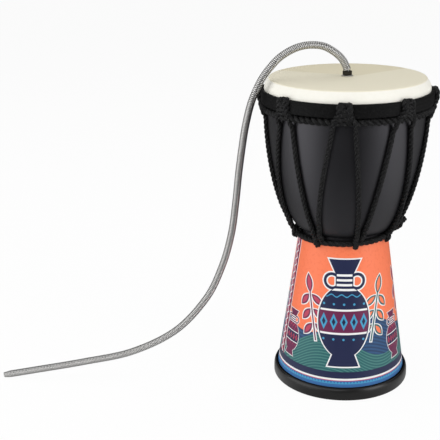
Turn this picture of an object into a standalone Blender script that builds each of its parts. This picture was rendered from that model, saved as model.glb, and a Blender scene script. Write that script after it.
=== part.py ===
"""Spring drum: a small rope-tuned goblet drum with a long coil spring on its head.

Run with: blender --background --python part.py
Metres, +Z up. The origin is the middle of the foot's underside, and the drum's axis is +Z.
Angles round the drum are in degrees from the front (-Y), positive towards +X.
"""

from math import cos, pi, radians, sin, sqrt

import bmesh
import bpy
from mathutils import Vector

# Driving dimensions of the drum
HEAD_HEIGHT = 0.325
HEAD_ROUNDING = 0.0043
COLLAR_RADIUS = 0.0830
COLLAR_TOP_DROP = 0.0090
WAIST_RADIUS = 0.0446
WAIST_HEIGHT = 0.169
BOWL_FULLNESS = 2.0
BOWL_DRAW = 0.62
BASE_RADIUS = 0.0685
SHELL_WALL = 0.0050
SKIN = 0.0005
WRAP = 0.0004
GAP = 0.0003

# Foot ring
FOOT_HEIGHT = 0.0130
FOOT_RADIUS = 0.0721
FOOT_SHOULDER = 0.0065
FOOT_FLOOR = 0.0027
FOOT_LIP_WIDTH = 0.0007
FOOT_LIP_HEIGHT = 0.0060
FOOT_EDGE = 0.0017

# Hoops under and over the collar
CROWN_HEIGHT = 0.0134
CROWN_THICKNESS = 0.0032
CROWN_TOP_DROP = 0.0111
CROWN_EDGE = 0.0008
FLESH_HOOP_RADIUS = 0.0010

# Ropes
HITCH_ROPE_RADIUS = 0.0022
RUN_ROPE_RADIUS = 0.0025
RUNNING_ROPE_RADIUS = 0.0026
BOTTOM_ROPE_RADIUS = 0.0035
BOTTOM_ROPE_DROP = 0.0037
HITCH_ANGLES = (-91.0, -43.0, -1.0, 41.0, 88.0, 133.0, 178.0, 223.0)
TIE_ANGLES = (-73.0, -28.0, 17.0, 63.0, 108.0, 153.0, 198.0, 243.0)
STRAND_OFFSET = 0.0040
LEG_SPREADS = (
    (0.0109, 0.0109), (0.0109, 0.0063), (0.0109, 0.0109), (0.0109, 0.0109),
    (0.0109, 0.0109), (0.0109, 0.0109), (0.0109, 0.0109), (0.0109, 0.0109),
)
LEG_DROP = 0.0055
LEG_TUCK = 0.0007
RUN_SETTLE = 0.0110
RUN_LEAVE = 0.0130
END_KNOT_ANGLE = 80.0
END_KNOT_SIZE = 0.0140
END_KNOT_ROPE_RADIUS = 0.0016
END_KNOT_HEIGHT = 0.0112

# Bolt through the head
BOLT_RADIUS = 0.0018
BOLT_HEAD_RADIUS = 0.0036
BOLT_HEAD_HEIGHT = 0.0030
BOLT_STAND_UP = 0.0010
BOLT_HOLE_CLEARANCE = 0.0004
WASHER_RADIUS = 0.0060
WASHER_THICKNESS = 0.0008
NUT_ACROSS_FLATS = 0.0080
NUT_HEIGHT = 0.0042

# Coil spring: its curls are drawn open, fewer than the real close-wound turns. The route
# clears hitches that reach out to ROUTE_HITCH_RADIUS, and widens with them.
SPRING_RADIUS = 0.0038
SPRING_WIRE_RADIUS = 0.0008
SPRING_CURLS = 64
POINTS_A_CURL = 8
ROUTE_HITCH_RADIUS = 0.0911
SPRING_ROUTE = (
    (0.0, 0.0, 0.3309), (-0.0022, -0.0008, 0.3368), (-0.0058, -0.0022, 0.3428),
    (-0.0125, -0.0048, 0.3493), (-0.0229, -0.0088, 0.3557), (-0.0345, -0.0132, 0.3579),
    (-0.0460, -0.0177, 0.3570), (-0.0574, -0.0220, 0.3527), (-0.0689, -0.0264, 0.3446),
    (-0.0812, -0.0312, 0.3297), (-0.0891, -0.0342, 0.3145), (-0.0943, -0.0330, 0.3002),
    (-0.0986, -0.0292, 0.2832), (-0.1019, -0.0266, 0.2661), (-0.1070, -0.0231, 0.2317),
    (-0.1110, -0.0212, 0.1968), (-0.1162, -0.0208, 0.1613), (-0.1264, -0.0216, 0.1254),
    (-0.1439, -0.0238, 0.0888), (-0.1773, -0.0291, 0.0522), (-0.2244, -0.0366, 0.0286),
    (-0.2766, -0.0448, 0.0179), (-0.3289, -0.0530, 0.0097), (-0.3639, -0.0584, 0.0044),
)

STEPS = 40
BOWL_POINTS = 10
RUN_POINTS = 7

# Sizes that follow from the driving dimensions
SKIN_UNDERSIDE = HEAD_HEIGHT - SKIN
SHELL_TOP = SKIN_UNDERSIDE - GAP
HEAD_FLAT_RADIUS = COLLAR_RADIUS - HEAD_ROUNDING
RIM_RADIUS = COLLAR_RADIUS - SKIN - 2 * FLESH_HOOP_RADIUS - 3 * GAP
SHELL_BOTTOM = FOOT_FLOOR + GAP
COLLAR_TOP = HEAD_HEIGHT - COLLAR_TOP_DROP
CROWN_TOP = HEAD_HEIGHT - CROWN_TOP_DROP
CROWN_BOTTOM = CROWN_TOP - CROWN_HEIGHT
CROWN_INNER_RADIUS = COLLAR_RADIUS + GAP
CROWN_RADIUS = CROWN_INNER_RADIUS + CROWN_THICKNESS
COLLAR_BOTTOM = CROWN_BOTTOM + CROWN_EDGE / 2
RUNNING_ROPE_HEIGHT = CROWN_BOTTOM - GAP - RUNNING_ROPE_RADIUS
RUNNING_ROPE_RING = RIM_RADIUS + GAP + RUNNING_ROPE_RADIUS
STRAND_RING = CROWN_RADIUS + GAP + HITCH_ROPE_RADIUS
BOTTOM_ROPE_HEIGHT = WAIST_HEIGHT - BOTTOM_ROPE_DROP
WRAP_OUTSET = GAP + WRAP
SPRING_SEAT = (
    HEAD_HEIGHT + GAP + WASHER_THICKNESS + GAP + NUT_HEIGHT + GAP
)
BOLT_HOLE_RADIUS = BOLT_RADIUS + BOLT_HOLE_CLEARANCE


def clear_scene():
    for thing in list(bpy.data.objects):
        bpy.data.objects.remove(thing, do_unlink=True)


def new_collection(name):
    group = bpy.data.collections.new(name)
    bpy.context.scene.collection.children.link(group)
    return group


def material(name, colour, roughness, metallic=0.0):
    made = bpy.data.materials.new(name)
    made.use_nodes = True
    shader = made.node_tree.nodes["Principled BSDF"]
    shader.inputs["Base Color"].default_value = (*colour, 1.0)
    shader.inputs["Roughness"].default_value = roughness
    shader.inputs["Metallic"].default_value = metallic
    return made


def polar(angle, radius, height):
    """The point at this angle from the front, in degrees."""
    turn = radians(angle)
    return Vector((radius * sin(turn), -radius * cos(turn), height))


def degrees_for(arc, radius):
    """The angle that an arc of this length takes at this radius."""
    return arc / radius * 180 / pi


def place(thing, group, look):
    thing.data.materials.append(look)
    group.objects.link(thing)
    return thing


def turned(name, profile, group, look):
    """A closed profile of (radius, height) points, turned round the drum's axis."""
    mesh = bpy.data.meshes.new(name)
    points = [(radius, 0.0, height) for radius, height in profile]
    edges = [(i, (i + 1) % len(points)) for i in range(len(points))]
    mesh.from_pydata(points, edges, [])
    thing = bpy.data.objects.new(name, mesh)
    place(thing, group, look)
    screw = thing.modifiers.new("turn", "SCREW")
    screw.axis = "Z"
    screw.steps = STEPS
    screw.render_steps = STEPS
    screw.use_merge_vertices = True
    screw.merge_threshold = 0.00001
    screw.use_smooth_shade = True
    return thing


def rounded(name, group, look, outline_radius, ring_radius, height, sides):
    """A plain rope or wire ring round the drum."""
    profile = [
        (
            ring_radius + outline_radius * cos(-2 * pi * i / sides),
            height + outline_radius * sin(-2 * pi * i / sides),
        )
        for i in range(sides)
    ]
    return turned(name, profile, group, look)


def tube(name, points, radius, group, look, resolution):
    """A closed tube along the points, with flat caps."""
    curve = bpy.data.curves.new(name, "CURVE")
    curve.dimensions = "3D"
    spline = curve.splines.new("POLY")
    spline.points.add(len(points) - 1)
    for slot, point in zip(spline.points, points):
        slot.co = (*point, 1.0)
    curve.bevel_depth = radius
    curve.bevel_resolution = resolution
    curve.use_fill_caps = True
    thing = bpy.data.objects.new(name, curve)
    return place(thing, group, look)


def smooth_route(points, count):
    """Evenly spaced points on a Catmull-Rom curve through the given points."""
    given = [Vector(point) for point in points]
    ends = [2 * given[0] - given[1]] + given + [2 * given[-1] - given[-2]]
    fine = []
    pieces = 24
    for i in range(1, len(ends) - 2):
        a, b, c, d = ends[i - 1 : i + 3]
        for k in range(pieces):
            t = k / pieces
            fine.append(
                0.5
                * (
                    2 * b
                    + (c - a) * t
                    + (2 * a - 5 * b + 4 * c - d) * t * t
                    + (3 * b - a - 3 * c + d) * t * t * t
                )
            )
    fine.append(given[-1])
    lengths = [0.0]
    for before, after in zip(fine, fine[1:]):
        lengths.append(lengths[-1] + (after - before).length)
    even = []
    k = 0
    for i in range(count):
        wanted = lengths[-1] * i / (count - 1)
        while k < len(lengths) - 2 and lengths[k + 1] < wanted:
            k += 1
        share = (wanted - lengths[k]) / (lengths[k + 1] - lengths[k])
        even.append(fine[k].lerp(fine[k + 1], min(share, 1.0)))
    return even, lengths[-1]


def bowl_radius(height):
    """Outer radius of the bowl: full at the rim, drawn in fast at the waist."""
    share = (height - WAIST_HEIGHT) / (CROWN_BOTTOM - WAIST_HEIGHT)
    share = min(max(share, 0.0), 1.0)
    swell = (1 - (1 - share) ** BOWL_FULLNESS) ** BOWL_DRAW
    return WAIST_RADIUS + (RIM_RADIUS - WAIST_RADIUS) * swell


def base_radius(height):
    """Outer radius of the flared base below the waist."""
    share = (height - SHELL_BOTTOM) / (WAIST_HEIGHT - SHELL_BOTTOM)
    return BASE_RADIUS + (WAIST_RADIUS - BASE_RADIUS) * share


def bowl_slope(height):
    """How fast the bowl's radius grows with height."""
    step = RUN_ROPE_RADIUS
    return (bowl_radius(height + step) - bowl_radius(height - step)) / (2 * step)


def on_bowl(height, standoff):
    """Radius at which something stands this far off the bowl, square to its surface."""
    slope = bowl_slope(height)
    return bowl_radius(height) + standoff * sqrt(1 + slope * slope)


def shell(group, look):
    bowl_heights = [
        WAIST_HEIGHT + (CROWN_BOTTOM - WAIST_HEIGHT) * (i / BOWL_POINTS) ** 1.5
        for i in range(BOWL_POINTS + 1)
    ]
    edge_drop = SHELL_TOP - COLLAR_TOP
    outer = [
        (RIM_RADIUS - SHELL_WALL * 0.95, SHELL_TOP - edge_drop * 0.25),
        (RIM_RADIUS - SHELL_WALL * 0.60, SHELL_TOP),
        (RIM_RADIUS - SHELL_WALL * 0.36, SHELL_TOP - edge_drop * 0.12),
        (RIM_RADIUS - SHELL_WALL * 0.08, SHELL_TOP - edge_drop * 0.55),
        (RIM_RADIUS, SHELL_TOP - edge_drop),
    ]
    outer += [(bowl_radius(z), z) for z in reversed(bowl_heights)]
    outer.append((BASE_RADIUS, SHELL_BOTTOM))
    inner = [(BASE_RADIUS - SHELL_WALL, SHELL_BOTTOM)]
    inner += [(bowl_radius(z) - SHELL_WALL, z) for z in bowl_heights]
    return turned("shell", outer + inner, group, look)


def printed_wrap(group, look):
    low = FOOT_HEIGHT + GAP
    high = BOTTOM_ROPE_HEIGHT - BOTTOM_ROPE_RADIUS - 2 * GAP
    profile = [
        (base_radius(high) + WRAP_OUTSET, high),
        (base_radius(low) + WRAP_OUTSET, low),
        (base_radius(low) + GAP, low),
        (base_radius(high) + GAP, high),
    ]
    return turned("printed_wrap", profile, group, look)


def foot_ring(group, look):
    """A rubber channel: the shell's lower edge stands in it."""
    seat_outer = BASE_RADIUS + GAP
    seat_inner = BASE_RADIUS - SHELL_WALL - 3 * GAP
    bore = seat_inner - FOOT_LIP_WIDTH
    rise = base_radius(FOOT_HEIGHT) + GAP
    shoulder = [
        (
            rise + (FOOT_RADIUS - rise) * (0.2 + 0.8 * cos(radians(turn))),
            FOOT_HEIGHT - FOOT_SHOULDER * (1 - sin(radians(turn))),
        )
        for turn in (90, 60, 30, 0)
    ]
    profile = [
        (rise, FOOT_HEIGHT),
        *shoulder,
        (FOOT_RADIUS, FOOT_EDGE),
        (FOOT_RADIUS - FOOT_EDGE * 0.3, FOOT_EDGE * 0.3),
        (FOOT_RADIUS - FOOT_EDGE, 0.0),
        (bore, 0.0),
        (bore, FOOT_LIP_HEIGHT),
        (seat_inner, FOOT_LIP_HEIGHT),
        (seat_inner, FOOT_FLOOR),
        (seat_outer, FOOT_FLOOR),
    ]
    return turned("foot_ring", profile, group, look)


def drumhead(group, look):
    """One skin: playing face, collar, and the lap under the flesh hoop."""
    break_drop = COLLAR_TOP_DROP * 0.5
    break_radius = HEAD_FLAT_RADIUS + (COLLAR_RADIUS - HEAD_FLAT_RADIUS) * 0.68
    lap_inner = RIM_RADIUS + 2 * GAP
    profile = [
        (BOLT_HOLE_RADIUS, HEAD_HEIGHT),
        (HEAD_FLAT_RADIUS - SKIN, HEAD_HEIGHT),
        (HEAD_FLAT_RADIUS + SKIN / 2, HEAD_HEIGHT - SKIN),
        (break_radius, HEAD_HEIGHT - break_drop),
        (COLLAR_RADIUS, COLLAR_TOP),
        (COLLAR_RADIUS, COLLAR_BOTTOM + SKIN),
        (COLLAR_RADIUS - SKIN, COLLAR_BOTTOM),
        (lap_inner, COLLAR_BOTTOM),
        (lap_inner, COLLAR_BOTTOM + SKIN),
        (COLLAR_RADIUS - SKIN, COLLAR_BOTTOM + SKIN),
        (COLLAR_RADIUS - SKIN, COLLAR_TOP),
        (break_radius - SKIN * 0.8, HEAD_HEIGHT - break_drop - SKIN / 2),
        (HEAD_FLAT_RADIUS - SKIN, SKIN_UNDERSIDE),
        (BOLT_HOLE_RADIUS, SKIN_UNDERSIDE),
    ]
    return turned("drumhead", profile, group, look)


def flesh_hoop(group, look):
    ring = (RIM_RADIUS + 2 * GAP + COLLAR_RADIUS - SKIN) / 2
    height = COLLAR_BOTTOM + SKIN + GAP + FLESH_HOOP_RADIUS
    return rounded("flesh_hoop", group, look, FLESH_HOOP_RADIUS, ring, height, 6)


def crown_hoop(group, look, cutters):
    """The wide band, notched where each hitch passes over its top edge."""
    middle = (CROWN_TOP + CROWN_BOTTOM) / 2
    inner, outer = CROWN_INNER_RADIUS, CROWN_RADIUS
    profile = [
        (inner + CROWN_EDGE, CROWN_TOP),
        (outer - CROWN_EDGE, CROWN_TOP),
        (outer - CROWN_EDGE * 0.2, CROWN_TOP - CROWN_EDGE),
        (outer, middle),
        (outer - CROWN_EDGE * 0.2, CROWN_BOTTOM + CROWN_EDGE),
        (outer - CROWN_EDGE, CROWN_BOTTOM),
        (inner + CROWN_EDGE, CROWN_BOTTOM),
        (inner, CROWN_BOTTOM + CROWN_EDGE),
        (inner, CROWN_TOP - CROWN_EDGE),
    ]
    hoop = turned("crown_hoop", profile, group, look)
    width = 2 * (STRAND_OFFSET + HITCH_ROPE_RADIUS + GAP)
    floor = CROWN_TOP - HITCH_ROPE_RADIUS - 2 * GAP
    reach = CROWN_THICKNESS * 3
    cutting = bmesh.new()
    for angle in HITCH_ANGLES:
        made = bmesh.ops.create_cube(cutting, size=1.0)["verts"]
        for corner in made:
            side = corner.co.x * width
            depth = corner.co.y * reach
            height = floor + (corner.co.z + 0.5) * CROWN_HEIGHT
            centre = polar(angle, (inner + outer) / 2 + depth, height)
            across = polar(angle - 90, side, 0.0)
            corner.co = centre + across
    mesh = bpy.data.meshes.new("hitch_notches")
    cutting.to_mesh(mesh)
    cutting.free()
    notches = bpy.data.objects.new("hitch_notches", mesh)
    notches.hide_render = True
    notches.display_type = "WIRE"
    cutters.objects.link(notches)
    cut = hoop.modifiers.new("notches", "BOOLEAN")
    cut.object = notches
    cut.operation = "DIFFERENCE"
    cut.solver = "EXACT"
    return hoop


def leg_angle(number, side):
    """How far a hitch's leg stands from the hitch's middle, in degrees."""
    return degrees_for(LEG_SPREADS[number][0 if side < 0 else 1], STRAND_RING)


def strand_side(number, side):
    """Half a hitch, from the middle of its crossing down to the leg's end."""
    centre = HITCH_ANGLES[number]
    spread = degrees_for(STRAND_OFFSET, STRAND_RING)
    leg = leg_angle(number, side)
    top = CROWN_TOP - GAP / 2
    back = COLLAR_RADIUS + GAP + HITCH_ROPE_RADIUS + GAP / 2
    bend = STRAND_RING - back
    clear = RUNNING_ROPE_RING + RUNNING_ROPE_RADIUS + GAP + HITCH_ROPE_RADIUS
    low = RUNNING_ROPE_HEIGHT
    shape = [
        (0.00, back, top),
        (0.35 * spread, back + bend * 0.04, top),
        (0.75 * spread, back + bend * 0.30, top - bend * 0.02),
        (0.95 * spread, back + bend * 0.68, top - bend * 0.22),
        (1.00 * spread, back + bend * 0.93, top - bend * 0.70),
        (1.00 * spread, STRAND_RING, top - bend * 1.40),
        (1.05 * spread, STRAND_RING, CROWN_BOTTOM + CROWN_HEIGHT * 0.38),
        (spread + (leg - spread) * 0.30, STRAND_RING, CROWN_BOTTOM + CROWN_HEIGHT * 0.12),
        (spread + (leg - spread) * 0.68, STRAND_RING, low + RUNNING_ROPE_RADIUS * 0.5),
        (spread + (leg - spread) * 0.92, max(clear, STRAND_RING - LEG_TUCK), low - LEG_DROP * 0.4),
        (leg, clear - LEG_TUCK, low - LEG_DROP),
    ]
    return [polar(centre + side * angle, radius, height) for angle, radius, height in shape]


def hitch(number, group, look):
    left = strand_side(number, -1)
    right = strand_side(number, 1)
    points = list(reversed(left)) + right[1:]
    name = "rope_hitch_%d" % (number + 1)
    return tube(name, points, HITCH_ROPE_RADIUS, group, look, 1)


def rope_run(name, number, side, tie_angle, over, group, look):
    """One rope from a hitch's leg down the bowl to the bottom ring."""
    leg = leg_angle(number, side) + degrees_for(GAP / 2, STRAND_RING)
    hitch_angle = HITCH_ANGLES[number]
    if hitch_angle < tie_angle - 180:
        hitch_angle += 360
    clear = RUNNING_ROPE_RING + RUNNING_ROPE_RADIUS + GAP + HITCH_ROPE_RADIUS
    start_height = RUNNING_ROPE_HEIGHT - LEG_DROP
    standoff = RUN_ROPE_RADIUS + 2 * GAP
    bottom_ring = bottom_rope_ring()
    around = BOTTOM_ROPE_RADIUS + RUN_ROPE_RADIUS + GAP
    shape = [
        (clear - LEG_TUCK - GAP, start_height - RUN_SETTLE * 0.11),
        (clear - RUN_SETTLE * 0.31, start_height - RUN_SETTLE * 0.47),
    ]
    high = start_height - RUN_SETTLE
    low = WAIST_HEIGHT + RUN_LEAVE
    for i in range(RUN_POINTS):
        height = high + (low - high) * i / (RUN_POINTS - 1)
        shape.append((on_bowl(height, standoff), height))
    turns = (32, 0, -32, -60) if over else (58,)
    for turn in turns:
        shape.append(
            (
                bottom_ring + around * cos(radians(turn)),
                BOTTOM_ROPE_HEIGHT + around * sin(radians(turn)),
            )
        )
    first = hitch_angle + side * leg
    last = tie_angle - side * degrees_for(RUN_ROPE_RADIUS + GAP, bottom_ring + around)
    settled = BOTTOM_ROPE_HEIGHT + around
    points = []
    for radius, height in shape:
        share = (start_height - height) / (start_height - settled)
        share = min(max(share, 0.0), 1.0)
        points.append(polar(first + (last - first) * share, radius, height))
    return tube(name, points, RUN_ROPE_RADIUS, group, look, 2)


def bottom_rope_ring():
    """Radius of the bottom ring's middle: it lies on the wrap at the waist."""
    return base_radius(BOTTOM_ROPE_HEIGHT) + GAP + BOTTOM_ROPE_RADIUS


def end_knot(group, look):
    """The rope's end, tied in an overhand knot that lies on the bowl."""
    height = WAIST_HEIGHT + END_KNOT_HEIGHT
    size = END_KNOT_SIZE / 6
    thickness = 2.1 * END_KNOT_ROPE_RADIUS + GAP
    out = polar(END_KNOT_ANGLE, 1.0, 0.0)
    normal = (out - Vector((0.0, 0.0, bowl_slope(height)))).normalized()
    across = polar(END_KNOT_ANGLE + 90, 1.0, 0.0)
    up = normal.cross(across)
    standoff = thickness + END_KNOT_ROPE_RADIUS + GAP
    centre = polar(END_KNOT_ANGLE, bowl_radius(height), height) + normal * standoff
    count = 30
    points = []
    for i in range(count):
        t = radians(25 + 310 * i / (count - 1))
        u = size * (sin(t) + 2 * sin(2 * t))
        v = size * (cos(t) - 2 * cos(2 * t))
        w = -thickness * sin(3 * t)
        points.append(centre + across * u + up * v + normal * w)
    return tube("rope_end_knot", points, END_KNOT_ROPE_RADIUS, group, look, 1)


def washer(name, low, group, look):
    profile = [
        (WASHER_RADIUS, low + WASHER_THICKNESS),
        (WASHER_RADIUS, low),
        (BOLT_HOLE_RADIUS, low),
        (BOLT_HOLE_RADIUS, low + WASHER_THICKNESS),
    ]
    return turned(name, profile, group, look)


def head_bolt(group, look):
    head_top = SKIN_UNDERSIDE - GAP - WASHER_THICKNESS - GAP
    head_bottom = head_top - BOLT_HEAD_HEIGHT
    top = SPRING_SEAT + BOLT_STAND_UP
    shape = bmesh.new()
    head = bmesh.ops.create_cone(
        shape, cap_ends=True, segments=20, radius1=BOLT_HEAD_RADIUS * 0.8,
        radius2=BOLT_HEAD_RADIUS, depth=BOLT_HEAD_HEIGHT,
    )["verts"]
    bmesh.ops.translate(shape, verts=head, vec=(0, 0, (head_top + head_bottom) / 2))
    face = max(shape.faces, key=lambda f: f.calc_center_median().z)
    bmesh.ops.inset_region(shape, faces=[face], thickness=BOLT_HEAD_RADIUS - BOLT_RADIUS)
    raised = bmesh.ops.extrude_face_region(shape, geom=[face])["geom"]
    corners = [v for v in raised if isinstance(v, bmesh.types.BMVert)]
    bmesh.ops.translate(shape, verts=corners, vec=(0, 0, top - head_top))
    bmesh.ops.delete(shape, geom=[face], context="FACES_ONLY")
    bmesh.ops.recalc_face_normals(shape, faces=shape.faces)
    mesh = bpy.data.meshes.new("head_bolt")
    shape.to_mesh(mesh)
    shape.free()
    mesh.shade_smooth()
    mesh.set_sharp_from_angle(angle=radians(35))
    return place(bpy.data.objects.new("head_bolt", mesh), group, look)


def spring_nut(group, look, cutters):
    low = HEAD_HEIGHT + GAP + WASHER_THICKNESS + GAP
    corner = NUT_ACROSS_FLATS / 2 / cos(pi / 6)
    shape = bmesh.new()
    bmesh.ops.create_cone(
        shape, cap_ends=True, segments=6, radius1=corner, radius2=corner, depth=NUT_HEIGHT
    )
    bmesh.ops.translate(shape, verts=shape.verts, vec=(0, 0, low + NUT_HEIGHT / 2))
    mesh = bpy.data.meshes.new("spring_nut")
    shape.to_mesh(mesh)
    shape.free()
    nut = place(bpy.data.objects.new("spring_nut", mesh), group, look)
    boring = bmesh.new()
    bmesh.ops.create_cone(
        boring, cap_ends=True, segments=20, radius1=BOLT_HOLE_RADIUS,
        radius2=BOLT_HOLE_RADIUS, depth=NUT_HEIGHT * 2,
    )
    bmesh.ops.translate(boring, verts=boring.verts, vec=(0, 0, low + NUT_HEIGHT / 2))
    bore_mesh = bpy.data.meshes.new("nut_bore")
    boring.to_mesh(bore_mesh)
    boring.free()
    bore = bpy.data.objects.new("nut_bore", bore_mesh)
    bore.hide_render = True
    bore.display_type = "WIRE"
    cutters.objects.link(bore)
    cut = nut.modifiers.new("bore", "BOOLEAN")
    cut.object = bore
    cut.operation = "DIFFERENCE"
    cut.solver = "EXACT"
    return nut


def spring(group, look):
    """One wire wound round its route. It starts with a short leg that stands on the nut."""
    stretch = SPRING_SEAT / SPRING_ROUTE[0][2]
    widen = (STRAND_RING + HITCH_ROPE_RADIUS) / ROUTE_HITCH_RADIUS
    route = [(x * widen, y * widen, z * stretch) for x, y, z in SPRING_ROUTE]
    count = SPRING_CURLS * POINTS_A_CURL + 1
    line, length = smooth_route(route, count)
    coil = SPRING_RADIUS - SPRING_WIRE_RADIUS
    side = Vector((1.0, 0.0, 0.0))
    points = []
    for i, point in enumerate(line):
        ahead = line[min(i + 1, count - 1)] - line[max(i - 1, 0)]
        ahead.normalize()
        side = (side - ahead * side.dot(ahead)).normalized()
        across = ahead.cross(side)
        turn = 2 * pi * i / POINTS_A_CURL
        points.append(point + coil * (side * cos(turn) + across * sin(turn)))
    wire = 2 * SPRING_WIRE_RADIUS
    shift = wire + SPRING_WIRE_RADIUS
    foot = Vector((points[0].x, points[0].y, SPRING_SEAT))
    points = [foot, foot + Vector((0, 0, wire))] + [
        point + Vector((0, 0, shift * max(0.0, 1 - i / POINTS_A_CURL)))
        for i, point in enumerate(points)
    ]
    last = (points[-1] - points[-2]).normalized()
    points.append(points[-1] + last * wire)
    gap = least_gap(points)
    print("spring: length along its middle %.4f m, least gap to itself %.5f m" % (length, gap))
    return tube("spring", points, SPRING_WIRE_RADIUS, group, look, 1)


def least_gap(points):
    """Least distance between the wire and another turn of it, surface to surface."""
    least = 1.0
    for i in range(len(points)):
        for k in range(i + POINTS_A_CURL // 2, min(i + 3 * POINTS_A_CURL, len(points))):
            least = min(least, (points[i] - points[k]).length)
    return least - 2 * SPRING_WIRE_RADIUS


def build():
    clear_scene()
    drum = new_collection("spring_drum")
    cutters = new_collection("cutters")
    lacquer = material("black_shell", (0.020, 0.020, 0.022), 0.42)
    print_look = material("printed_wrap", (0.95, 0.30, 0.16), 0.40)
    rubber = material("rubber", (0.022, 0.021, 0.020), 0.60)
    skin = material("drum_skin", (0.78, 0.72, 0.60), 0.55)
    hoop_wire = material("hoop_wire", (0.45, 0.45, 0.46), 0.40, 1.0)
    band = material("hoop_band", (0.010, 0.010, 0.010), 0.75)
    rope = material("black_rope", (0.014, 0.014, 0.015), 0.80)
    steel = material("spring_steel", (0.55, 0.55, 0.56), 0.28, 1.0)
    dark_steel = material("dark_steel", (0.05, 0.05, 0.05), 0.35, 1.0)

    shell(drum, lacquer)
    printed_wrap(drum, print_look)
    foot_ring(drum, rubber)
    drumhead(drum, skin)
    flesh_hoop(drum, hoop_wire)
    crown_hoop(drum, band, cutters)
    rounded(
        "running_rope", drum, rope, RUNNING_ROPE_RADIUS, RUNNING_ROPE_RING,
        RUNNING_ROPE_HEIGHT, 6,
    )
    rounded(
        "bottom_ring_rope", drum, rope, BOTTOM_ROPE_RADIUS, bottom_rope_ring(),
        BOTTOM_ROPE_HEIGHT, 8,
    )
    count = len(HITCH_ANGLES)
    for number in range(count):
        hitch(number, drum, rope)
        tie = TIE_ANGLES[number]
        over_name = "rope_run_%02d" % (2 * number + 1)
        under_name = "rope_run_%02d" % (2 * number + 2)
        rope_run(over_name, number, 1, tie, True, drum, rope)
        rope_run(under_name, (number + 1) % count, -1, tie, False, drum, rope)
    end_knot(drum, rope)
    washer("inner_washer", SKIN_UNDERSIDE - GAP - WASHER_THICKNESS, drum, steel)
    washer("outer_washer", HEAD_HEIGHT + GAP, drum, steel)
    head_bolt(drum, steel)
    spring_nut(drum, dark_steel, cutters)
    spring(drum, steel)


build()
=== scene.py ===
"""Looks of the spring drum: shell, printed wrap, skin, ropes, hardware and coil spring.

Metres. +Z runs up the drum's axis from the floor, and the viewer stands at -Y. Angles
round the drum are in degrees from the front (-Y), positive towards +X.
"""

from math import atan2, cos, pi, radians, sin, sqrt, tau

import bpy
from mathutils import Matrix, Vector


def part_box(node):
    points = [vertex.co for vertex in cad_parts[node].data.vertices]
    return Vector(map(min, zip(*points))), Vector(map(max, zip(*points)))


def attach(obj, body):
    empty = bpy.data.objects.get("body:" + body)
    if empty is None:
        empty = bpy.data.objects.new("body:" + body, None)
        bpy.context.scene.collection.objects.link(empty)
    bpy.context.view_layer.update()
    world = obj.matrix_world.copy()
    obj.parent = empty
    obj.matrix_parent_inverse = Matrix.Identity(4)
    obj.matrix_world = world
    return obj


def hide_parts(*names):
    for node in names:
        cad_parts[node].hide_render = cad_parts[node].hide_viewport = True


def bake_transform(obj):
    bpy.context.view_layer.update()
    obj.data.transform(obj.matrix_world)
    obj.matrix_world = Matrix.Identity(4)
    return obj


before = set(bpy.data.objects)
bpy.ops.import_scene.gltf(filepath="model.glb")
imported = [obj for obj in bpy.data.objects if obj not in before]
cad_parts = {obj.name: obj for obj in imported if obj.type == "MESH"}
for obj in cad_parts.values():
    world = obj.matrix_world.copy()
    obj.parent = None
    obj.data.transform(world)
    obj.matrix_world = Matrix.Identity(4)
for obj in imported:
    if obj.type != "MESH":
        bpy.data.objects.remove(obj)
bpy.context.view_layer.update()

# Heights and radii taken from the frame
HEAD_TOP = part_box("drumhead")[1][2]
COLLAR_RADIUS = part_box("drumhead")[1][0]
SHELL_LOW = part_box("shell")[0][2]
SHELL_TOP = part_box("shell")[1][2]
RIM_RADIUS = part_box("shell")[1][0]
CROWN_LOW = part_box("crown_hoop")[0][2]
CROWN_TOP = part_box("crown_hoop")[1][2]
CROWN_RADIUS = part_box("crown_hoop")[1][0]
FOOT_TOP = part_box("foot_ring")[1][2]
FOOT_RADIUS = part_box("foot_ring")[1][0]
WRAP_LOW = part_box("printed_wrap")[0][2]
WRAP_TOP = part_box("printed_wrap")[1][2]
BOTTOM_RING_HEIGHT = (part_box("bottom_ring_rope")[0][2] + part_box("bottom_ring_rope")[1][2]) / 2
NUT_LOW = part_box("spring_nut")[0][2]
NUT_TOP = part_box("spring_nut")[1][2]
NUT_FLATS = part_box("spring_nut")[1][0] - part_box("spring_nut")[0][0]
WASHER_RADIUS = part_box("outer_washer")[1][0]
WASHER_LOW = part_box("outer_washer")[0][2]
WASHER_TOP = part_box("outer_washer")[1][2]

# The drum's own shape
GAP = 0.0003
SKIN = 0.0005
SHELL_WALL = 0.0050
WAIST_RADIUS = 0.0446
WAIST_HEIGHT = 0.169
BASE_RADIUS = 0.0685
HEAD_FLAT_RADIUS = 0.0787
COLLAR_TOP = HEAD_TOP - 0.0090
HITCH_ANGLES = (-91.0, -43.0, -1.0, 41.0, 88.0, 133.0, 178.0, 223.0)
TIE_ANGLES = (-73.0, -28.0, 17.0, 63.0, 108.0, 153.0, 198.0, 243.0)
BOLT_HOLE_RADIUS = 0.0022
ROUND_STEPS = 144

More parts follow.
